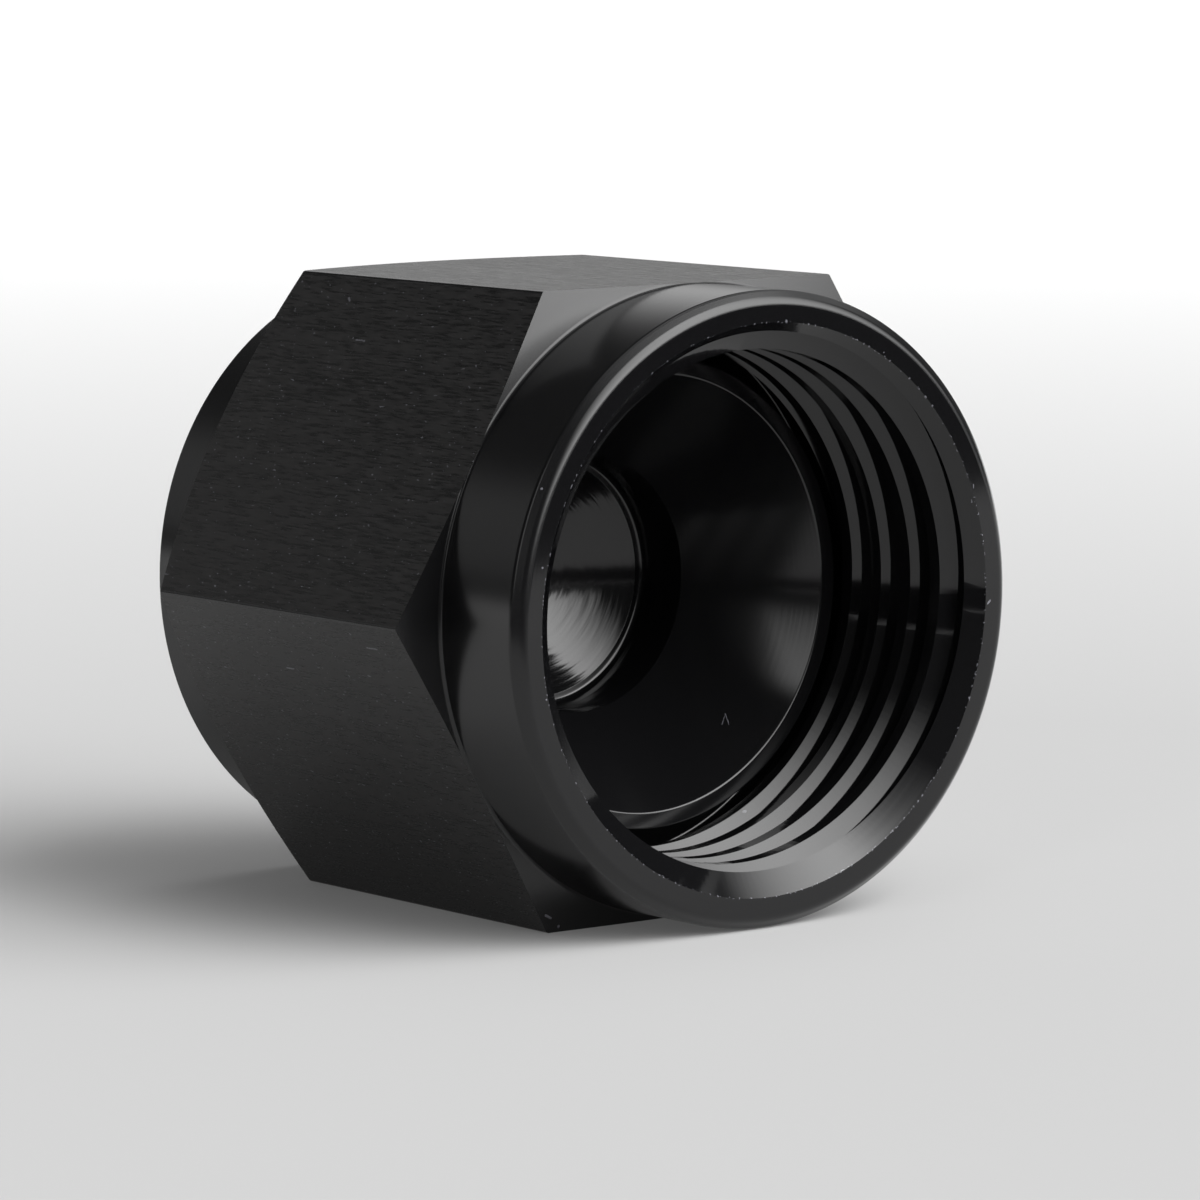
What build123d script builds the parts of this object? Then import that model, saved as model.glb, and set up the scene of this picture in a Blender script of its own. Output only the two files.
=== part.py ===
"""Threaded protection cap: a blind hexagon cap nut for a 37 degree flared union.

One piece, turned from 1 inch hexagon bar and anodised.  The mouth takes a 7/8-14 UNF male
thread, and the cone inside it closes on the flared nose of the fitting, so the cap both
protects the thread and seals the line.  The thread stays plain here, bored to its minor
diameter.

Frame (mm): the cap lies on one flat.  Its axis is X, and the mouth looks along +X with its
face ring in the plane x = 0.  +Z is up, square to the flat that it lies on.  Every depth
below is measured back from the mouth face, so a feature at depth d is at x = -d.
"""

import os
from math import cos, radians, tan

from build123d import *

NODE = "cap_body"
INCH = 25.4

# ---- Hexagon bar
ACROSS_FLATS = 1.0 * INCH
HEX_EDGE_RADIUS = 0.15         # the drawn bar's six long edges
OVERALL_LENGTH = 25.0

# ---- Turned collar around the mouth
COLLAR_TURNDOWN = 0.04         # below the flats, all round
COLLAR_LENGTH = 4.75
COLLAR_EDGE_CHAMFER = 0.40     # 45 degrees
COLLAR_ROOT_FILLET = 0.30      # left by the nose of the tool
SHOULDER_ANGLE = 8.0           # the shoulder behind the collar leans back by this

# ---- Turned boss at the blind end
BOSS_TURNDOWN = 0.45           # below the flats, all round
BOSS_LENGTH = 2.6
BOSS_EDGE_CHAMFER = 0.40       # 45 degrees
BACK_CHAMFER_ANGLE = 30.0      # over the hexagon's corners, from square to the axis

# ---- Thread socket, 7/8-14 UNF
THREAD_MAJOR = 0.875 * INCH
THREAD_HEIGHT = 0.8225         # from the major to the minor radius
THREAD_END = 7.38              # depth at which the parallel thread bore ends
RUN_OUT_LENGTH = 1.07          # of the slight taper behind it, where the last turns run out
RUN_OUT_ANGLE = 8.0            # of that taper, from the axis
COUNTERSINK_OVERSIZE = 0.2775  # the countersink's rim stands this far outside the thread
COUNTERSINK_ANGLE = 45.0       # from the axis
RELIEF_OVERSIZE = 0.19         # the relief groove stands this far outside the thread
RELIEF_WIDTH = 1.55            # from the square edge of the run-out to the groove's floor
RELIEF_FILLET = 0.35           # in the outer corner of that floor

# ---- Seat for the flared nose
LAND_SETBACK = 0.74            # the land's rim stands this far inside the thread's crests
LAND_WIDTH = 0.675
LAND_LEAD = 0.08               # the land lies this far in front of the thread bore's end
SEAT_ANGLE = 37.0              # half angle of the cone
SEAT_EDGE_BREAK = 0.10

# ---- Blind bore behind the seat
BORE_DIAMETER = 10.59
BORE_LENGTH = 2.6              # from the cone to the bore's flat floor
BORE_CORNER_FILLET = 0.20      # in the corner of that floor
DRILL_SETBACK = 0.37           # the pilot drill was this much smaller than the bore, all round
DRILL_POINT_ANGLE = 118.0      # included

# ---- Radii that follow
HEX_CORNER_RADIUS = ACROSS_FLATS / 2 / cos(radians(30))
BLANK_RADIUS = 1.1 * HEX_CORNER_RADIUS
COLLAR_RADIUS = ACROSS_FLATS / 2 - COLLAR_TURNDOWN
BOSS_RADIUS = ACROSS_FLATS / 2 - BOSS_TURNDOWN
MINOR_RADIUS = THREAD_MAJOR / 2 - THREAD_HEIGHT
MOUTH_RADIUS = THREAD_MAJOR / 2 + COUNTERSINK_OVERSIZE
RUN_OUT_RADIUS = MINOR_RADIUS + RUN_OUT_LENGTH * tan(radians(RUN_OUT_ANGLE))
RELIEF_RADIUS = THREAD_MAJOR / 2 + RELIEF_OVERSIZE
LAND_RADIUS = MINOR_RADIUS - LAND_SETBACK
SEAT_RADIUS = LAND_RADIUS - LAND_WIDTH
BORE_RADIUS = BORE_DIAMETER / 2
DRILL_RADIUS = BORE_RADIUS - DRILL_SETBACK

# ---- Depths that follow
BOSS_START = OVERALL_LENGTH - BOSS_LENGTH
COUNTERSINK_DEPTH = (MOUTH_RADIUS - MINOR_RADIUS) / tan(radians(COUNTERSINK_ANGLE))
RELIEF_START = THREAD_END + RUN_OUT_LENGTH
RELIEF_FLOOR = RELIEF_START + RELIEF_WIDTH
LAND_DEPTH = THREAD_END - LAND_LEAD
SEAT_END = LAND_DEPTH + (SEAT_RADIUS - BORE_RADIUS) / tan(radians(SEAT_ANGLE))
BORE_END = SEAT_END + BORE_LENGTH
DRILL_TIP = BORE_END + DRILL_RADIUS / tan(radians(DRILL_POINT_ANGLE / 2))


def shoulder_depth(radius):
    """Depth of the leaning shoulder behind the collar, at a radius."""
    return COLLAR_LENGTH + (radius - COLLAR_RADIUS) * tan(radians(SHOULDER_ANGLE))


def back_chamfer_depth(radius):
    """Depth of the chamfer cone over the hexagon's back corners, at a radius."""
    return BOSS_START - (radius - BOSS_RADIUS) * tan(radians(BACK_CHAMFER_ANGLE))


def half_section(points):
    """Face through (depth, radius) corners, in the half plane that is spun about X."""
    outline = Polyline([(-depth, radius) for depth, radius in points], close=True)
    return make_face(outline)


def corner(section, depth, radius):
    """The corner of a half section at a depth and radius."""
    return section.vertices().sort_by_distance((-depth, radius, 0))[0]


def hexagon_bar():
    """Bar stock along X, with a flat below and a flat above."""
    outline = Plane.YZ * RegularPolygon(ACROSS_FLATS / 2, side_count=6, major_radius=False)
    outline = fillet(outline.vertices(), HEX_EDGE_RADIUS)
    return extrude(outline, amount=-OVERALL_LENGTH, dir=(1, 0, 0))


def turned_outside():
    """What the lathe leaves of the bar: collar, shoulder, back chamfer and boss."""
    section = half_section([
        (0, 0),
        (0, COLLAR_RADIUS),
        (COLLAR_LENGTH, COLLAR_RADIUS),
        (shoulder_depth(BLANK_RADIUS), BLANK_RADIUS),
        (back_chamfer_depth(BLANK_RADIUS), BLANK_RADIUS),
        (BOSS_START, BOSS_RADIUS),
        (OVERALL_LENGTH, BOSS_RADIUS),
        (OVERALL_LENGTH, 0),
    ])
    section = chamfer(corner(section, 0, COLLAR_RADIUS), COLLAR_EDGE_CHAMFER)
    section = chamfer(corner(section, OVERALL_LENGTH, BOSS_RADIUS), BOSS_EDGE_CHAMFER)
    section = fillet(corner(section, COLLAR_LENGTH, COLLAR_RADIUS), COLLAR_ROOT_FILLET)
    return revolve(section, axis=Axis.X)


def socket():
    """All that is bored from the mouth: countersink, thread, relief, seat and blind bore."""
    section = half_section([
        (0, 0),
        (0, MOUTH_RADIUS),
        (COUNTERSINK_DEPTH, MINOR_RADIUS),
        (THREAD_END, MINOR_RADIUS),
        (RELIEF_START, RUN_OUT_RADIUS),
        (RELIEF_START, RELIEF_RADIUS),
        (RELIEF_FLOOR, RELIEF_RADIUS),
        (RELIEF_FLOOR, LAND_RADIUS),
        (LAND_DEPTH, LAND_RADIUS),
        (LAND_DEPTH, SEAT_RADIUS),
        (SEAT_END, BORE_RADIUS),
        (BORE_END, BORE_RADIUS),
        (BORE_END, DRILL_RADIUS),
        (DRILL_TIP, 0),
    ])
    section = fillet(corner(section, RELIEF_FLOOR, RELIEF_RADIUS), RELIEF_FILLET)
    section = fillet(corner(section, BORE_END, BORE_RADIUS), BORE_CORNER_FILLET)
    section = chamfer(corner(section, LAND_DEPTH, SEAT_RADIUS), SEAT_EDGE_BREAK)
    return revolve(section, axis=Axis.X)


def cap_body():
    """The whole cap: hexagon bar, turned outside, and bored from the mouth."""
    return (hexagon_bar() & turned_outside()) - socket()


os.makedirs("parts", exist_ok=True)
cap = cap_body()
export_step(cap, f"parts/{NODE}.step")
size = cap.bounding_box().size
print(f"{NODE}: {size.X:.2f} x {size.Y:.2f} x {size.Z:.2f} mm, {cap.volume:.0f} mm3")
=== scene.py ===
# %% [markdown]
# # A blind hexagon cap nut in black anodised aluminium
# The real cap screws over a flared hydraulic fitting.  It starts as hexagon bar, a lathe
# turns its collar and its blind end and bores its mouth, a tap cuts the thread, and the
# finished cap is anodised and dyed black.  This lesson makes it in the same order, with
# Blender standing in for the machines.  It begins with the frame: the measured solid that
# the finished piece has to replace, which gives the two overall sizes.  Lengths on the cap
# are in millimetres in the code, and MM turns them to metres at the last moment.  Depths run
# back from the mouth, so a feature at depth d is at x = -d.  Lengths in the studio are in
# metres.

from math import cos, pi, radians, sin, tan

import bmesh
import bpy
from mathutils import Matrix, Vector


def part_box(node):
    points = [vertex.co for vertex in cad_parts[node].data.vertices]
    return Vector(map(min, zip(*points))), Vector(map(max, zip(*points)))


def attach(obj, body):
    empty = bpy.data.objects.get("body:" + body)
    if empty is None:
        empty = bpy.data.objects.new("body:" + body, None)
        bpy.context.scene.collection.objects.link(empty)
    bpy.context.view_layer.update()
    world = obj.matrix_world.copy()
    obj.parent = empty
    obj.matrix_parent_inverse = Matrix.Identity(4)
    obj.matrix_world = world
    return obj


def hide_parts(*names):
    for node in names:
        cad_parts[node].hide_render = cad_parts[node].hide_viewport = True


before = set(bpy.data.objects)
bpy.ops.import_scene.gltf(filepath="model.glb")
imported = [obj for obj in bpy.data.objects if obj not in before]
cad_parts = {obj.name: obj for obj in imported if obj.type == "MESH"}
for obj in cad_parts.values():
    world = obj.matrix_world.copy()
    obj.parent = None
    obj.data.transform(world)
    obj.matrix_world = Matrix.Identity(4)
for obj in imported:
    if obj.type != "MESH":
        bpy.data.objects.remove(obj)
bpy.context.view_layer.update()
MM = 0.001
NODE = "cap_body"

low, high = (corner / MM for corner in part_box(NODE))
ACROSS_FLATS = high.z - low.z
LENGTH = high.x - low.x
print(f"{NODE}: {LENGTH:.2f} long, {ACROSS_FLATS:.2f} across flats")

# %% [markdown]
# ## The machines
# A lathe makes every round surface here, and Blender's Spin is a lathe: it carries a half
# section round an axis.  No turned edge is perfectly sharp, so a corner of the section can
# be given a small round.  The cuts are booleans, as a real cut is: what the tool's shape
# covers is gone.  Both are used several times, so each is a function.  Blender's operators
# work on all that is selected, so the first helper here selects one piece and nothing else.

# %% Select one object alone
def only(piece):
    """Makes a piece the only one that is selected, and the active one."""
    bpy.ops.object.select_all(action="DESELECT")
    piece.select_set(True)
    bpy.context.view_layer.objects.active = piece
    return piece


# %% Half section with rounded corners
SUPPORT = 0.03                 # width of the rows of faces that keep a rounded edge crisp
ARC_STEPS = 5


def rounded(corners):
    """Half section through (depth, radius, rounding) corners, with its corners rounded."""
    path = []
    for i, (depth, radius, rounding) in enumerate(corners):
        here = Vector((depth, radius))
        if not rounding:
            path.append(here)
            continue
        back = (Vector(corners[i - 1][:2]) - here).normalized()
        ahead = (Vector(corners[i + 1][:2]) - here).normalized()
        half = back.angle(ahead) / 2
        reach = rounding / tan(half)
        middle = here + (back + ahead).normalized() * rounding / sin(half)
        first = here + back * reach - middle
        sweep = first.angle_signed(here + ahead * reach - middle)
        path.append(here + back * (reach + SUPPORT))
        for step in range(ARC_STEPS + 1):
            turn = Matrix.Rotation(-sweep * step / ARC_STEPS, 2)
            path.append(middle + turn @ first)
        path.append(here + ahead * (reach + SUPPORT))
    return path


sample = rounded([(0, 0, 0), (0, 1, 0.1), (1, 1, 0)])
print("points round one corner:", len(sample) - 2)


# %% Lathe
STEPS = 240                    # facets round a turned surface, every 1.5 degrees
MERGE = 1e-7                   # m


def lathe(name, corners):
    """Closed solid made by spinning a half section about X, from axis to axis."""
    mesh = bpy.data.meshes.new(name)
    points = [(-depth * MM, 0, radius * MM) for depth, radius in rounded(corners)]
    mesh.from_pydata(points, [(i, i + 1) for i in range(len(points) - 1)], [])
    piece = bpy.data.objects.new(name, mesh)
    bpy.context.scene.collection.objects.link(piece)
    only(piece)
    bpy.ops.object.mode_set(mode="EDIT")
    bpy.ops.mesh.select_all(action="SELECT")
    bpy.ops.mesh.spin(steps=STEPS, angle=2 * pi, center=(0, 0, 0), axis=(1, 0, 0))
    bpy.ops.mesh.select_all(action="SELECT")
    bpy.ops.mesh.remove_doubles(threshold=MERGE)
    bpy.ops.mesh.normals_make_consistent(inside=False)
    bpy.ops.object.mode_set(mode="OBJECT")
    print(f"{name}: {len(points)} points spun to {len(piece.data.polygons)} faces")
    return piece


# %% Boolean
def combine(piece, tool, operation):
    """Cuts a piece with a tool, or keeps only what they share, and drops the tool."""
    only(piece)
    bpy.ops.object.modifier_add(type="BOOLEAN")
    step = piece.modifiers[-1]
    step.operation = operation
    step.solver = "EXACT"
    step.object = tool
    bpy.ops.object.modifier_apply(modifier=step.name)
    bpy.data.objects.remove(tool)
    print(f"{piece.name} after {operation.lower()}: {len(piece.data.polygons)} faces")


# %% [markdown]
# ## The bar
# A cylinder with six sides is a hexagon bar.  It is added lying along X, with a flat below
# and a flat above.  A drawn bar never has knife edges, so its six long edges are bevelled
# to the small radius that the die leaves.  Bevel asks how far it should reach along the
# flats, which for these corners is the radius times the tangent of 30 degrees.

# %% Hexagon bar
HEX_CORNER = ACROSS_FLATS / 2 / cos(radians(30))
HEX_EDGE_RADIUS = 0.15
bpy.ops.object.select_all(action="DESELECT")
bpy.ops.mesh.primitive_cylinder_add(
    vertices=6, radius=HEX_CORNER * MM, depth=LENGTH * MM,
    location=(-LENGTH / 2 * MM, 0, 0), rotation=(0, radians(90), 0),
)
cap = bpy.context.object
cap.name = cap.data.name = "cap"
bpy.ops.object.transform_apply(location=True, rotation=True, scale=True)
bpy.ops.object.mode_set(mode="EDIT")
bpy.ops.mesh.select_mode(type="EDGE")
bpy.ops.mesh.select_all(action="DESELECT")
bpy.ops.object.mode_set(mode="OBJECT")
for edge in cap.data.edges:
    a, b = (cap.data.vertices[i].co for i in edge.vertices)
    edge.select = abs(a.x - b.x) > LENGTH / 2 * MM
bpy.ops.object.mode_set(mode="EDIT")
bpy.ops.mesh.bevel(offset=HEX_EDGE_RADIUS * tan(radians(30)) * MM, segments=4)
bpy.ops.object.mode_set(mode="OBJECT")
widest = max(v.co.y for v in cap.data.vertices) / MM
print(f"bar corners at y = {widest:.3f}, where sharp ones would be at {HEX_CORNER:.3f}")

# %% [markdown]
# ## The turned outside
# The lathe takes the bar's corners down to a round collar at the mouth and a slightly
# smaller boss at the blind end, and leaves a shallow cone behind the collar and a 30 degree
# chamfer in front of the boss.  One half section holds all of it.  Keeping only what the
# bar and the spun section share gives the curved edges where the cones meet the flats, which
# nobody could draw by hand.

# %% Sizes of the outside
COLLAR_RADIUS = ACROSS_FLATS / 2 - 0.04
COLLAR_LENGTH = 4.75
COLLAR_CHAMFER = 0.40
COLLAR_ROOT_FILLET = 0.15
SHOULDER_SLOPE = tan(radians(8))
BOSS_RADIUS = ACROSS_FLATS / 2 - 0.45
BOSS_LENGTH = 2.6
BOSS_CHAMFER = 0.40
BOSS_ROOT_ROUND = 0.08
BACK_CHAMFER_SLOPE = tan(radians(30))
SOFT_EDGE = 0.12               # radius that deburring leaves on a turned edge
MOUTH_OUTER_ROUND = 0.2        # where the mouth's chamfer meets the collar
MOUTH_INNER_ROUND = 0.45       # where it meets the face ring
blank = 1.1 * HEX_CORNER       # clear of the bar's corners
boss_start = LENGTH - BOSS_LENGTH
print(f"collar radius {COLLAR_RADIUS:.2f}, boss radius {BOSS_RADIUS:.2f} from {boss_start:.1f}")

# %% Turned outside
outside = lathe("turned_outside", [
    (0, 0, 0),
    (0, COLLAR_RADIUS - COLLAR_CHAMFER, MOUTH_INNER_ROUND),
    (COLLAR_CHAMFER, COLLAR_RADIUS, MOUTH_OUTER_ROUND),
    (COLLAR_LENGTH, COLLAR_RADIUS, COLLAR_ROOT_FILLET),
    (COLLAR_LENGTH + (blank - COLLAR_RADIUS) * SHOULDER_SLOPE, blank, 0),
    (boss_start - (blank - BOSS_RADIUS) * BACK_CHAMFER_SLOPE, blank, 0),
    (boss_start, BOSS_RADIUS, BOSS_ROOT_ROUND),
    (LENGTH - BOSS_CHAMFER, BOSS_RADIUS, SOFT_EDGE),
    (LENGTH, BOSS_RADIUS - BOSS_CHAMFER, SOFT_EDGE),
    (LENGTH, 0, 0),
])
combine(cap, outside, "INTERSECT")

# %% [markdown]
# ## The socket
# Everything inside is bored from the mouth: a countersink that leads the thread in, the
# tapping bore, a groove where the tap runs out, then the flat land and the 37 degree cone
# that seals on the fitting's nose, and last a blind hole with the drill's point at its end.
# The thread is 7/8 inch across the roots of its grooves, and the radii near it are reckoned
# from there.  The section starts in front of the mouth, so that the cut breaks through
# cleanly.

# %% Sizes of the socket
INCH = 25.4
MAJOR_RADIUS = 0.875 * INCH / 2
MINOR_RADIUS = MAJOR_RADIUS - 0.8225
MOUTH_RADIUS = MAJOR_RADIUS + 0.2775
THREAD_END = 7.38
RUN_OUT_LENGTH = 1.07
RUN_OUT_SLOPE = tan(radians(8))
RELIEF_RADIUS = MAJOR_RADIUS + 0.19
RELIEF_WIDTH = 1.55
RELIEF_FILLET = 0.35
LAND_DEPTH = 7.3
LAND_RADIUS = 9.55
LAND_ROUND = 0.05
SEAT_RADIUS = 8.875
SEAT_BREAK = 0.10
SEAT_SLOPE = tan(radians(37))
BORE_RADIUS = 5.295
BORE_LENGTH = 2.6
BORE_RIM_ROUND = 0.04
BORE_FILLET = 0.20
DRILL_RADIUS = BORE_RADIUS - 0.37
DRILL_RIM_ROUND = 0.03
DRILL_SLOPE = tan(radians(59))
print(f"bored to {MINOR_RADIUS:.3f} for the thread, {MOUTH_RADIUS:.3f} at the mouth")

# %% Socket
REACH = 1.0                    # how far the tools stand out in front of the mouth
relief_start = THREAD_END + RUN_OUT_LENGTH
relief_floor = relief_start + RELIEF_WIDTH
seat_end = LAND_DEPTH + (SEAT_RADIUS - BORE_RADIUS) / SEAT_SLOPE
bore_end = seat_end + BORE_LENGTH
drill_tip = bore_end + DRILL_RADIUS / DRILL_SLOPE
socket = lathe("socket", [
    (-REACH, 0, 0),
    (-REACH, MOUTH_RADIUS + REACH, 0),
    (MOUTH_RADIUS - MINOR_RADIUS, MINOR_RADIUS, 0),
    (THREAD_END, MINOR_RADIUS, 0),
    (relief_start, MINOR_RADIUS + RUN_OUT_LENGTH * RUN_OUT_SLOPE, 0),
    (relief_start, RELIEF_RADIUS, 0),
    (relief_floor, RELIEF_RADIUS, RELIEF_FILLET),
    (relief_floor, LAND_RADIUS, 0),
    (LAND_DEPTH, LAND_RADIUS, LAND_ROUND),
    (LAND_DEPTH, SEAT_RADIUS, SEAT_BREAK),
    (seat_end, BORE_RADIUS, BORE_RIM_ROUND),
    (bore_end, BORE_RADIUS, BORE_FILLET),
    (bore_end, DRILL_RADIUS, DRILL_RIM_ROUND),
    (drill_tip, 0, 0),
])
combine(cap, socket, "DIFFERENCE")

# %% [markdown]
# ## The thread
# A tap cuts a groove with 60 degree flanks that climbs one pitch in each turn.  This one
# makes fourteen turns to the inch, which with the 7/8 inch diameter is a 7/8-14 UNF.
# Blender's Screw modifier does what a tap does: it carries the groove's outline round the
# axis and forward at once.  The groove starts in the relief and runs out through the mouth,
# where it bites into the countersink for most of a turn.  The outline begins a little way
# inside the bore, so that the cut breaks through the wall cleanly.

# %% Outline of the groove
GROOVE_MOUTH = 1.215           # width of the groove at the minor radius
FLANK_SLOPE = tan(radians(30))
INNER_RADIUS = MINOR_RADIUS - 0.09
half_mouth = GROOVE_MOUTH / 2
half_root = half_mouth - (MAJOR_RADIUS - MINOR_RADIUS) * FLANK_SLOPE
half_inner = half_mouth + (MINOR_RADIUS - INNER_RADIUS) * FLANK_SLOPE
outline = [
    (-half_inner, INNER_RADIUS),
    (-half_root, MAJOR_RADIUS),
    (half_root, MAJOR_RADIUS),
    (half_inner, INNER_RADIUS),
]
print(f"groove {GROOVE_MOUTH:.2f} wide at the bore, {2 * half_root:.2f} at its root")

# %% Thread groove
PITCH = INCH / 14
TURNS = 5.5
TURNS_BACK = 5                 # whole turns from the phase's groove to the start
THREAD_PHASE = -0.966          # x of a groove's middle on the +Y side
START_ANGLE = 171              # about X, from +Y towards +Z
GROOVE_START = THREAD_PHASE + PITCH * (START_ANGLE / 360 - TURNS_BACK)
c, s = cos(radians(START_ANGLE)), sin(radians(START_ANGLE))
groove_mesh = bpy.data.meshes.new("groove")
groove_mesh.from_pydata(
    [((GROOVE_START + x) * MM, r * c * MM, r * s * MM) for x, r in outline],
    [(0, 1), (1, 2), (2, 3), (3, 0)], [],
)
groove = bpy.data.objects.new("groove", groove_mesh)
bpy.context.scene.collection.objects.link(groove)
only(groove)
bpy.ops.object.modifier_add(type="SCREW")
tap = groove.modifiers[-1]
tap.axis = "X"
tap.angle = 2 * pi * TURNS
tap.screw_offset = PITCH * TURNS * MM
tap.steps = tap.render_steps = round(STEPS * TURNS)
tap.use_merge_vertices = False
bpy.ops.object.modifier_apply(modifier=tap.name)
bpy.ops.object.mode_set(mode="EDIT")
bpy.ops.mesh.select_all(action="SELECT")
bpy.ops.mesh.fill_holes(sides=8)
bpy.ops.mesh.select_all(action="SELECT")
bpy.ops.mesh.normals_make_consistent(inside=False)
bpy.ops.object.mode_set(mode="OBJECT")
along = [v.co.x / MM for v in groove.data.vertices]
print(f"pitch {PITCH:.3f}, groove from x = {min(along):.2f} to {max(along):.2f}")
combine(cap, groove, "DIFFERENCE")

# %% [markdown]
# ## Smooth and flat
# The facets of a turned surface shouldn't show, so the shading is smoothed wherever two
# faces meet at less than 26 degrees, and stays sharp at the real edges.  The six flats are
# truly flat.  They are found by their distance from the axis, shaded flat, and left
# selected, because they get a finish of their own later.  A closed solid whose faces point
# outwards has no open edge and a positive volume, and both are measured here.

# %% Smooth and flat shading
SMOOTH_BELOW = 26              # degrees
TOLERANCE = 0.001              # mm for a distance, and no unit for a part of a normal
only(cap)
bpy.ops.object.shade_smooth_by_angle(angle=radians(SMOOTH_BELOW))
bpy.ops.object.mode_set(mode="EDIT")
bpy.ops.mesh.select_mode(type="FACE")
bpy.ops.mesh.select_all(action="DESELECT")
bpy.ops.object.mode_set(mode="OBJECT")
for face in cap.data.polygons:
    away = face.normal.dot(face.center) / MM
    lengthwise = abs(face.normal.x) < TOLERANCE
    face.select = lengthwise and abs(away - ACROSS_FLATS / 2) < TOLERANCE
bpy.ops.object.mode_set(mode="EDIT")
bpy.ops.mesh.faces_shade_flat()
bpy.ops.object.mode_set(mode="OBJECT")
print("faces on the six flats:", sum(face.select for face in cap.data.polygons))

# %% Closed and outward
check = bmesh.new()
check.from_mesh(cap.data)
open_edges = sum(not edge.is_manifold for edge in check.edges)
triangles = sum(len(face.verts) - 2 for face in check.faces)
volume = check.calc_volume() / MM ** 3
print(f"open edges {open_edges}, volume {volume:.0f} mm3, {triangles} triangles")
check.free()

# %% [markdown]
# ## Helpers for the finishes
# Colours are written as on a paint card, in sRGB hex, and one function turns them into the
# linear values that the renderer mixes.  Another adds a node together with its settings and
# its links, so that each finish below reads from top to bottom like a recipe.

# %% Colours
def srgb(hex_colour):
    """Linear RGBA of an sRGB hex colour."""
    parts = [int(hex_colour[i:i + 2], 16) / 255 for i in (1, 3, 5)]
    linear = [p / 12.92 if p <= 0.04045 else ((p + 0.055) / 1.055) ** 2.4 for p in parts]
    return (*linear, 1.0)


print("middle grey in linear light:", round(srgb("#777777")[0], 3))


# %% Nodes
def node(tree, kind, settings=None, links=None):
    """Adds a node, gives it its settings, links its inputs, and returns it."""
    made = tree.nodes.new(kind)
    for name, value in (settings or {}).items():
        if isinstance(name, str) and hasattr(made, name):
            setattr(made, name, value)
        else:
            made.inputs[name].default_value = value
    for name, source in (links or {}).items():
        tree.links.new(source, made.inputs[name])
    return made


def new_material(name):
    """An empty material and its node tree."""
    made = bpy.data.materials.new(name)
    made.use_nodes = True
    made.node_tree.nodes.clear()
    print("material", name)
    return made, made.node_tree


# %% [markdown]
# ## Wear and painted glints
# Anodising is a hard but very thin skin.  It wears through first on the sharp rim between
# the face ring and the countersink, as a broken line of pale flecks, and then where the cap
# was knocked or scratched.  The flecks on the rim and the specks on two of the hexagon's
# corners are partly wear and partly painted glints, where those sharp edges catch the
# light.  These marks are about a tenth of a millimetre across, with no depth to speak of,
# so they belong to the finish and not to the mesh.  Each mark is a line from one point to
# another with a half width, and a knock is a line with no length.  A little noise shakes
# the position first, so that no mark ends up round or straight.  Torn metal is so rough
# that it looks like pale matt paint, and its colour alone shows it.

# %% Marks in millimetres
MARKS = [                      # start, end and half width
    # knocks on the mouth's rims and on its chamfer
    ((-0.02, -11.35, 2.6), (-0.02, -11.35, 2.6), 0.05),
    ((-0.02, -11.2, -2.5), (-0.02, -11.2, -2.5), 0.04),
    ((-0.02, -8.5, 7.5), (-0.02, -8.5, 7.5), 0.045),
    ((-0.02, 0.83, 11.4), (-0.02, 0.83, 11.4), 0.055),
    ((-0.02, 5.9, 9.9), (-0.02, 5.9, 9.9), 0.035),
    ((-0.02, 11.5, -0.6), (-0.02, 11.62, -0.5), 0.045),
    ((-0.25, -11.18, 5.61), (-0.35, -11.2, 5.5), 0.045),
    # a scratch in the countersink, a nick in the thread, and a tool's touch on the cone
    ((0.0, 10.70, 4.29), (-0.12, 10.70, 3.55), 0.025),
    ((-7.25, 4.66, -9.33), (-7.20, 4.72, -9.30), 0.07),
    ((-9.05, 5.17, -5.52), (-8.91, 4.87, -5.92), 0.016),
    ((-9.05, 5.17, -5.52), (-8.72, 5.08, -5.92), 0.016),
    # knocks on the flats, and on the corner that it fell on; the specks on the two corners
    # are partly knocks and partly painted glints, where the edges catch the light
    ((-17.07, -7.90, 11.71), (-17.2, -7.85, 11.80), 0.05),
    ((-15.86, -7.48, 12.44), (-15.86, -7.48, 12.44), 0.045),
    ((-15.5, -8.75, 10.25), (-14.9, -8.75, 10.25), 0.03),
    ((-7.7, -14.08, -1.01), (-7.0, -14.08, -1.01), 0.03),
    ((-14.3, -13.19, -2.55), (-13.8, -13.19, -2.55), 0.03),
    ((-4.95, -7.45, -11.96), (-4.94, -7.2, -12.1), 0.05),
    ((-4.97, -6.79, -12.48), (-4.97, -6.79, -12.48), 0.06),
]
print(len(MARKS), "marks")

# %% One mark
RAGGED = 0.06                  # how far the noise shakes a mark's outline


def on_mark(tree, position, start, end, half_width):
    """Mask, 1 within half_width of the line from start to end, all in mm.

    The noise moves the position by half of RAGGED on average, so the line moves as much."""
    shift = Vector((1, 1, 1)) * RAGGED / 2
    start, end = (Vector(point) + shift for point in (start, end))
    along = (end - start) * MM
    reached = node(tree, "ShaderNodeVectorMath", {"operation": "SUBTRACT", 1: start * MM},
                   {0: position})
    if along.length > 0:
        share = node(tree, "ShaderNodeVectorMath",
                     {"operation": "DOT_PRODUCT", 1: along / along.length_squared},
                     {0: reached.outputs[0]})
        kept = node(tree, "ShaderNodeClamp", None, {"Value": share.outputs["Value"]})
        nearest = node(tree, "ShaderNodeVectorMath", {"operation": "SCALE", 0: along},
                       {"Scale": kept.outputs[0]})
        away = node(tree, "ShaderNodeVectorMath", {"operation": "DISTANCE"},
                    {0: reached.outputs[0], 1: nearest.outputs[0]})
    else:
        away = node(tree, "ShaderNodeVectorMath", {"operation": "LENGTH"}, {0: reached.outputs[0]})
    return node(tree, "ShaderNodeMath", {"operation": "LESS_THAN", 1: half_width * MM},
                {0: away.outputs["Value"]})
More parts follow.
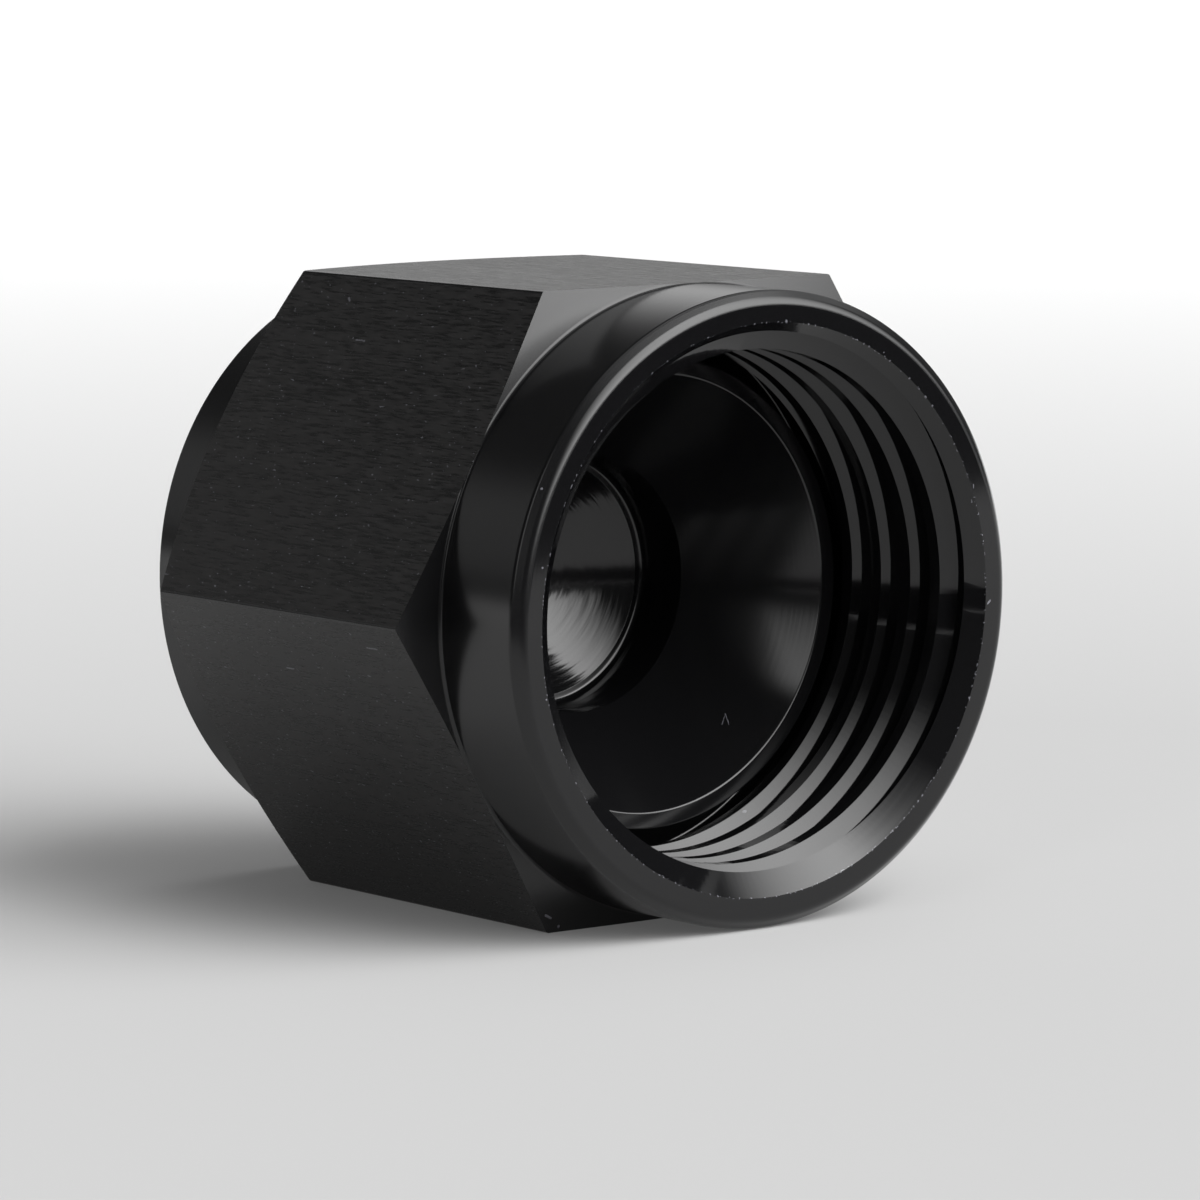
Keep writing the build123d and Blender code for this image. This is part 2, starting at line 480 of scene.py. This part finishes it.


# %% Worn places and painted glints
# pale bare metal, which also paints the glints on the mouth's rim and on two corners
BARE_METAL_AND_GLINT = "#66666c"
RIM_HALF_WIDTH = 0.035
RIM_DEPTH = 0.04
RIM_FLECK_SIZE = 0.12
RIM_FLECKS_FROM = 0.63           # of the noise: more leaves fewer flecks


def wear_and_glint_places(tree, place, radius):
    """Mask, 1 on the marks and here and there along the rim: wear, and painted glints."""
    ragged = node(tree, "ShaderNodeTexNoise", {"Scale": 1 / (RIM_FLECK_SIZE * MM), "Detail": 1.0},
                  {"Vector": place.outputs["Object"]})
    shake = node(tree, "ShaderNodeVectorMath", {"operation": "SCALE", "Scale": RAGGED * MM},
                 {0: ragged.outputs["Color"]})
    position = node(tree, "ShaderNodeVectorMath", {"operation": "ADD"},
                    {0: place.outputs["Object"], 1: shake.outputs[0]})
    parts = node(tree, "ShaderNodeSeparateXYZ", None, {"Vector": place.outputs["Object"]})
    rim = node(tree, "ShaderNodeMath",
               {"operation": "COMPARE", 1: MOUTH_RADIUS * MM, 2: RIM_HALF_WIDTH * MM},
               {0: radius.outputs["Value"]})
    front = node(tree, "ShaderNodeMath", {"operation": "GREATER_THAN", 1: -RIM_DEPTH * MM},
                 {0: parts.outputs["X"]})
    fleck = node(tree, "ShaderNodeMath", {"operation": "GREATER_THAN", 1: RIM_FLECKS_FROM},
                 {0: ragged.outputs["Fac"]})
    on_rim = node(tree, "ShaderNodeMath", {"operation": "MULTIPLY"},
                  {0: rim.outputs[0], 1: front.outputs[0]})
    mask = node(tree, "ShaderNodeMath", {"operation": "MULTIPLY"},
                {0: on_rim.outputs[0], 1: fleck.outputs[0]})
    for start, end, half_width in MARKS:
        mark = on_mark(tree, position.outputs[0], start, end, half_width)
        mask = node(tree, "ShaderNodeMath", {"operation": "MAXIMUM"},
                    {0: mask.outputs[0], 1: mark.outputs[0]})
    return mask


def from_axis(tree, place):
    """Distance of the surface from the cap's axis."""
    across = node(tree, "ShaderNodeVectorMath", {"operation": "MULTIPLY", 1: (0, 1, 1)},
                  {0: place.outputs["Object"]})
    return node(tree, "ShaderNodeVectorMath", {"operation": "LENGTH"}, {0: across.outputs[0]})


print(f"worn rim {2 * RIM_HALF_WIDTH:.2f} wide in flecks of about {RIM_FLECK_SIZE:.2f}")


# %% [markdown]
# ## The turned finishes
# Dyed anodising is a glassy oxide with black dye in its pores.  Hardly any light reaches the
# metal under it and comes back, so the eye sees a black body under a clear gloss, which is a
# shader with a colour and an IOR of 1.5 and with no metallic in it.  How sharp the gloss is
# depends on how the metal was cut: nearly a mirror on the face ring and in the thread, satin
# on the collar and the seat, and torn into short arcs by the drill.  A tool leaves a ring at
# each turn, about 0.14 mm apart.  A noise that changes quickly along and across the axis,
# and slowly on the way round, draws rings that come and go as real ones do.

# %% Turned finish
DYE = "#101011"


def turned_finish(name, roughness, ring_pitch, ring_depth, arc_share):
    """Black anodising over turned metal, with the tool's rings in it.

    ring_pitch and ring_depth are in mm.  arc_share is how fast the rings change on the way
    round: little gives long arcs, and more gives short ones."""
    finish, tree = new_material(name)
    place = node(tree, "ShaderNodeTexCoord")
    parts = node(tree, "ShaderNodeSeparateXYZ", None, {"Vector": place.outputs["Object"]})
    radius = from_axis(tree, place)
    angle = node(tree, "ShaderNodeMath", {"operation": "ARCTAN2"},
                 {0: parts.outputs["Z"], 1: parts.outputs["Y"]})
    lengthwise = node(tree, "ShaderNodeMath", {"operation": "DIVIDE", 1: ring_pitch * MM},
                      {0: parts.outputs["X"]})
    outward = node(tree, "ShaderNodeMath", {"operation": "DIVIDE", 1: ring_pitch * MM},
                   {0: radius.outputs["Value"]})
    around = node(tree, "ShaderNodeMath", {"operation": "MULTIPLY", 1: arc_share},
                  {0: angle.outputs[0]})
    section = node(tree, "ShaderNodeCombineXYZ", None, {
        "X": lengthwise.outputs[0], "Y": outward.outputs[0], "Z": around.outputs[0]})
    rings = node(tree, "ShaderNodeTexNoise", {"Scale": 1.0, "Detail": 2.0},
                 {"Vector": section.outputs[0]})
    bump = node(tree, "ShaderNodeBump", {"Strength": 1.0, "Distance": ring_depth * MM},
                {"Height": rings.outputs["Fac"]})
    # pale for wear, and for the glints painted on the rim and on two corners
    wear_and_glint = wear_and_glint_places(tree, place, radius)
    colour = node(tree, "ShaderNodeMix",
                  {"data_type": "RGBA", 6: srgb(DYE), 7: srgb(BARE_METAL_AND_GLINT)},
                  {"Factor": wear_and_glint.outputs[0]})
    shader = node(tree, "ShaderNodeBsdfPrincipled", {"Roughness": roughness, "IOR": 1.5}, {
        "Base Color": colour.outputs[2], "Normal": bump.outputs[0]})
    node(tree, "ShaderNodeOutputMaterial", None, {"Surface": shader.outputs["BSDF"]})
    return finish


# %% The four turned finishes
TOOL_FEED = 0.14               # mm that a lathe tool moves on in one turn
DRILL_FEED = 0.35
faced = turned_finish(
    "black_anodised_aluminium_faced",
    roughness=0.06, ring_pitch=TOOL_FEED, ring_depth=0.0003, arc_share=0.6)
turned = turned_finish(
    "black_anodised_aluminium_turned_satin",
    roughness=0.2, ring_pitch=TOOL_FEED, ring_depth=0.0003, arc_share=0.6)
bored = turned_finish(
    "black_anodised_aluminium_bored_satin",
    roughness=0.14, ring_pitch=TOOL_FEED, ring_depth=0.0006, arc_share=1.0)
drilled = turned_finish(
    "black_anodised_aluminium_drilled",
    roughness=0.12, ring_pitch=DRILL_FEED, ring_depth=0.02, arc_share=1.2)

# %% [markdown]
# ## The drawn flats
# No tool touches the six flats.  They keep the skin of the drawn bar, with fine drag lines
# from the die that all run lengthwise, and etching before the dye turns them satin.  Two
# noises stretched along X stand for that: a fine one for the lines and a coarse one for the
# bands in which they gather.  A real line is about 0.02 mm wide.  These are 0.075 mm,
# because finer ones wouldn't show.  The lines are darker than the skin between them, and a
# third noise leaves pale specks where the dye hasn't taken.

# %% Lines, bands and specks
LINE_LENGTH = 0.95
LINE_WIDTH = 0.075
BAND_LENGTH = 14.0
BAND_WIDTH = 0.45
SPECK_SIZE = 0.09
drawn, tree = new_material("black_anodised_aluminium_drawn")
place = node(tree, "ShaderNodeTexCoord")
noises = []
for length, width, detail in (
    (LINE_LENGTH, LINE_WIDTH, 2.0),
    (BAND_LENGTH, BAND_WIDTH, 4.0),
    (2 * SPECK_SIZE, SPECK_SIZE, 0.0),
):
    stretch = node(tree, "ShaderNodeMapping", {
        "Scale": (1 / (length * MM), 1 / (width * MM), 1 / (width * MM)),
    }, {"Vector": place.outputs["Object"]})
    noises.append(node(
        tree, "ShaderNodeTexNoise", {"Scale": 1.0, "Detail": detail, "Roughness": 0.5},
        {"Vector": stretch.outputs[0]}))
lines, bands, specks = (noise.outputs["Fac"] for noise in noises)
print(f"about {HEX_CORNER / LINE_WIDTH:.0f} lines side by side on a flat")

# %% Drawn finish
BAND_SHARE = 0.22
LINE_DEPTH = 0.002
LINE_DARK, SKIN_DARK = "#060606", "#272626"
ALL_DARK, ALL_SKIN = 0.40, 0.59      # of the noise: full line below, full skin above
LINE_ROUGHNESS, SKIN_ROUGHNESS = 0.24, 0.42
ALL_SMOOTH, ALL_ROUGH = 0.38, 0.60   # the same for the roughness
SPECKED_FROM = 0.81            # of the noise: more leaves fewer specks
streaks = node(tree, "ShaderNodeMix", {"data_type": "FLOAT", "Factor": BAND_SHARE},
               {2: lines, 3: bands})
rough = node(tree, "ShaderNodeMapRange", {
    "From Min": ALL_SMOOTH, "From Max": ALL_ROUGH,
    "To Min": LINE_ROUGHNESS, "To Max": SKIN_ROUGHNESS,
}, {"Value": streaks.outputs[0]})
tone = node(tree, "ShaderNodeMapRange", {"From Min": ALL_DARK, "From Max": ALL_SKIN},
            {"Value": streaks.outputs[0]})
dyed = node(tree, "ShaderNodeMix",
            {"data_type": "RGBA", 6: srgb(LINE_DARK), 7: srgb(SKIN_DARK)},
            {"Factor": tone.outputs[0]})
bare = node(tree, "ShaderNodeMath", {"operation": "GREATER_THAN", 1: SPECKED_FROM}, {0: specks})
# pale for wear, and for the glints painted on the rim and on two corners
wear_and_glint = wear_and_glint_places(tree, place, from_axis(tree, place))
pale = node(tree, "ShaderNodeMath", {"operation": "MAXIMUM"},
            {0: bare.outputs[0], 1: wear_and_glint.outputs[0]})
colour = node(tree, "ShaderNodeMix", {"data_type": "RGBA", 7: srgb(BARE_METAL_AND_GLINT)},
              {"Factor": pale.outputs[0], 6: dyed.outputs[2]})
scratches = node(tree, "ShaderNodeBump", {"Strength": 1.0, "Distance": LINE_DEPTH * MM},
                 {"Height": streaks.outputs[0]})
shader = node(tree, "ShaderNodeBsdfPrincipled", {"IOR": 1.5}, {
    "Base Color": colour.outputs[2], "Roughness": rough.outputs[0],
    "Normal": scratches.outputs[0]})
node(tree, "ShaderNodeOutputMaterial", None, {"Surface": shader.outputs["BSDF"]})

# %% [markdown]
# ## Each finish on its faces
# One mesh carries five finishes, as the real cap does, so each face is given its own by
# where it lies.  The flats are still selected.  The rest is sorted by depth and by distance
# from the axis: the mirror-like finish on the face ring, the countersink and the thread,
# the drill's at the bottom, the seat's in between, and satin on all of the outside.

# %% Finishes on their faces
FINISHES = [turned, drawn, bored, drilled, faced]
MARGIN = 0.02                  # mm, past the last row of faces that is meant
HALF_BEND = tan(radians(45 / 2))   # reach of a round over a 45 degree bend, per radius
ring_edge = COLLAR_RADIUS - COLLAR_CHAMFER - MOUTH_INNER_ROUND * HALF_BEND
for finish in FINISHES:
    cap.data.materials.append(finish)
for face in cap.data.polygons:
    depth = -face.center.x / MM
    out = Vector(face.center[1:]).length / MM
    inside = out < RELIEF_RADIUS + MARGIN and depth < drill_tip
    if face.select:
        finish = drawn
    elif inside and out < BORE_RADIUS + MARGIN and depth > seat_end + MARGIN:
        finish = drilled
    elif inside and depth > LAND_DEPTH - MARGIN:
        finish = bored
    elif inside or (depth < MARGIN and out < ring_edge):
        finish = faced
    else:
        finish = turned
    face.material_index = FINISHES.index(finish)
for i, finish in enumerate(FINISHES):
    print(finish.name, sum(face.material_index == i for face in cap.data.polygons), "faces")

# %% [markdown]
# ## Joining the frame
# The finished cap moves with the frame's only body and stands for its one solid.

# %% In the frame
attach(cap, "root")
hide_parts(NODE)
print("the cap stands for", NODE)

# %% [markdown]
# ## The table
# The cap lies on a large sheet of pale paper.  Its colour is a light grey, and a glow that
# only the camera and reflections see brings it up to white further away.  The light that
# falls on the cap doesn't change, and the shadow stays.  A black cap is seen by what it
# reflects, so a studio lays a black card in front of it: its straight edge gives the face
# ring and the thread their dark bands.  The card lies out of sight, and here it is hidden
# from the camera and casts no shadow, so that the floor stays plain from all sides.

# %% Paper
PAPER_SIZE = 6.0               # m
PAPER_GREY = "#bbbbbb"
NEAR_GLOW, FAR_GLOW = 0.07, 0.7
GLOW_FROM, GLOW_TO = 0.06, 0.6   # m from the cap
floor_z = low.z * MM
bpy.ops.object.select_all(action="DESELECT")
bpy.ops.mesh.primitive_plane_add(size=PAPER_SIZE, location=(0, 0, floor_z))
paper = bpy.context.object
paper.name = "paper_sheet"
bpy.ops.object.transform_apply(location=True, rotation=True, scale=True)
white_paper, tree = new_material("white_studio_paper")
rays = node(tree, "ShaderNodeLightPath")
seen = node(tree, "ShaderNodeMath", {"operation": "ADD"}, {
    0: rays.outputs["Is Camera Ray"], 1: rays.outputs["Is Glossy Ray"]})
all_seen = node(tree, "ShaderNodeMath", {"operation": "ADD", "use_clamp": True}, {
    0: seen.outputs[0], 1: rays.outputs["Is Transmission Ray"]})
place = node(tree, "ShaderNodeTexCoord")
far = node(tree, "ShaderNodeVectorMath", {"operation": "LENGTH"}, {0: place.outputs["Object"]})
fade = node(tree, "ShaderNodeMapRange", {
    "From Min": GLOW_FROM, "From Max": GLOW_TO, "To Min": NEAR_GLOW, "To Max": FAR_GLOW,
}, {"Value": far.outputs["Value"]})
strength = node(tree, "ShaderNodeMath", {"operation": "MULTIPLY"}, {
    0: all_seen.outputs[0], 1: fade.outputs[0]})
sheet = node(tree, "ShaderNodeBsdfDiffuse", {"Color": srgb(PAPER_GREY)})
glow = node(tree, "ShaderNodeEmission", {"Color": (1, 1, 1, 1)},
            {"Strength": strength.outputs[0]})
both = node(tree, "ShaderNodeAddShader", None, {0: sheet.outputs[0], 1: glow.outputs[0]})
node(tree, "ShaderNodeOutputMaterial", None, {"Surface": both.outputs[0]})
paper.data.materials.append(white_paper)
print(f"paper {PAPER_SIZE:.0f} m square at z = {floor_z:.4f} m")

# %% Black card
CARD_AZIMUTH = -19             # the way that its near edge faces away from the cap
CARD_EDGE = 0.074              # m, from the cap's axis to that edge
CARD_SIZE = 1.2                # m
CARD_LIFT = 0.1 * MM           # above the paper
CARD_BLACK = "#0c0c0c"
bpy.ops.object.select_all(action="DESELECT")
bpy.ops.mesh.primitive_plane_add(size=CARD_SIZE, location=(CARD_EDGE + CARD_SIZE / 2, 0, 0))
card = bpy.context.object
card.name = "black_card"
bpy.ops.object.transform_apply(location=True, rotation=True, scale=True)
card.rotation_euler = (0, 0, radians(CARD_AZIMUTH))
card.location = (0, 0, floor_z + CARD_LIFT)
bpy.ops.object.transform_apply(location=True, rotation=True, scale=True)
card.visible_camera = card.visible_shadow = card.visible_diffuse = False
black_card, tree = new_material("black_card")
matt = node(tree, "ShaderNodeBsdfDiffuse", {"Color": srgb(CARD_BLACK)})
node(tree, "ShaderNodeOutputMaterial", None, {"Surface": matt.outputs[0]})
card.data.materials.append(black_card)
print(f"card edge {CARD_EDGE:.3f} m in front of the axis")

# %% [markdown]
# ## The light
# The room is nearly dark, though the camera sees it as white.  What lights the cap are big
# lamps behind white cloth, 3 m away, so each is given by where the cap sees it and how wide
# it looks from there.
# A large softbox in front and to the right lights the face, the countersink and the thread.
# A narrow one on the left draws the thin bright line along the collar, and faint ones stand
# for the light that walls and ceiling throw back.  Cloth is bright in its middle and falls
# off towards its edges, and on a gloss this soft edge is what makes a highlight look real.

# %% World
ROOM_GLOW = 0.05               # strength of the room's own light, where 1 is white
world = bpy.data.worlds.new("dim_studio")
bpy.context.scene.world = world
world.use_nodes = True
tree = world.node_tree
tree.nodes.clear()
rays = node(tree, "ShaderNodeLightPath")
strength = node(tree, "ShaderNodeMath", {"operation": "MAXIMUM", 1: ROOM_GLOW},
                {0: rays.outputs["Is Camera Ray"]})
room = node(tree, "ShaderNodeBackground", {"Color": (1, 1, 1, 1)},
            {"Strength": strength.outputs[0]})
node(tree, "ShaderNodeOutputWorld", None, {"Surface": room.outputs[0]})
print("room glow", ROOM_GLOW)

# %% Lamps
LAMP_DISTANCE = 3.0            # m


def softbox(name, azimuth, elevation, width, height, radiance, fades):
    """Lamp behind a rectangular cloth that faces the cap, with angles and sizes in degrees.

    radiance is how bright the cloth is in its middle, where 1 is white.  fades are the parts
    of its width and height over which it falls off."""
    lamp = bpy.data.lights.new(name, "AREA")
    lamp.shape = "RECTANGLE"
    lamp.size = 2 * LAMP_DISTANCE * tan(radians(width / 2))
    lamp.size_y = 2 * LAMP_DISTANCE * tan(radians(height / 2))
    lamp.energy = radiance * pi * lamp.size * lamp.size_y
    lamp.use_nodes = True
    tree = lamp.node_tree
    tree.nodes.clear()
    cloth = node(tree, "ShaderNodeNewGeometry")
    across = node(tree, "ShaderNodeSeparateXYZ", None, {"Vector": cloth.outputs["Parametric"]})
    share = node(tree, "ShaderNodeMath", {"operation": "MULTIPLY"})
    for i, fade in enumerate(fades):
        edge = node(tree, "ShaderNodeMath", {"operation": "PINGPONG", 1: 0.5},
                    {0: across.outputs[i]})
        soft = node(tree, "ShaderNodeMapRange", {
            "interpolation_type": "SMOOTHSTEP", "From Min": 0.0, "From Max": fade / 2,
        }, {"Value": edge.outputs[0]})
        tree.links.new(soft.outputs[0], share.inputs[i])
    light = node(tree, "ShaderNodeEmission", {"Color": (1, 1, 1, 1)},
                 {"Strength": share.outputs[0]})
    node(tree, "ShaderNodeOutputLight", None, {"Surface": light.outputs[0]})
    made = bpy.data.objects.new(name, lamp)
    bpy.context.scene.collection.objects.link(made)
    a, e = radians(azimuth), radians(elevation)
    towards = Vector((cos(a) * cos(e), sin(a) * cos(e), sin(e)))
    made.location = towards * LAMP_DISTANCE
    made.rotation_euler = towards.to_track_quat("Z", "Y").to_euler()
    print(f"{name}: {lamp.size:.1f} x {lamp.size_y:.1f} m, {lamp.energy:.0f} W")


softbox("key_softbox", azimuth=30, elevation=34.7, width=91, height=63.6,
        radiance=6.6, fades=(1.0, 0.13))
softbox("strip_softbox", azimuth=-60, elevation=24, width=11, height=44,
        radiance=2.1, fades=(0.4, 0.5))
softbox("side_softbox", azimuth=107, elevation=54, width=33, height=72,
        radiance=0.7, fades=(0.3, 0.6))
softbox("wall_bounce", azimuth=148, elevation=18, width=70, height=38,
        radiance=0.9, fades=(0.9, 0.9))
softbox("overhead_softbox", azimuth=0, elevation=86, width=60, height=60,
        radiance=0.7, fades=(0.8, 0.8))
softbox("back_bounce", azimuth=-171, elevation=16, width=77, height=28,
        radiance=0.32, fades=(0.4, 0.5))

# %% [markdown]
# ## The camera
# A long lens from a quarter of a metre, low and to the left of the mouth, so that the
# hexagon, the collar and the whole socket show at once.

# %% Camera, in degrees and millimetres
CAMERA_AZIMUTH = 51.59         # from +X to the camera's right-hand side
CAMERA_ELEVATION = 7.02
CAMERA_ROLL = -0.26
CAMERA_DISTANCE = 247.3
CAMERA_TARGET = Vector((-10.36, -0.35, -0.49))
lens = bpy.data.cameras.new("camera")
lens.lens = 182.5
lens.sensor_width = 36
lens.clip_start = 0.01
camera = bpy.data.objects.new("camera", lens)
bpy.context.scene.collection.objects.link(camera)
aim = (Matrix.Rotation(radians(CAMERA_AZIMUTH), 4, "Z")
       @ Matrix.Rotation(radians(90 - CAMERA_ELEVATION), 4, "X"))
roll = Matrix.Rotation(radians(CAMERA_ROLL), 4, "Z")
stand = CAMERA_TARGET + aim @ Vector((0, 0, CAMERA_DISTANCE))
camera.matrix_world = Matrix.Translation(stand * MM) @ aim @ roll
bpy.context.scene.camera = camera
bpy.context.scene.view_settings.view_transform = "Standard"
print("camera at", [round(v) for v in stand], "mm")
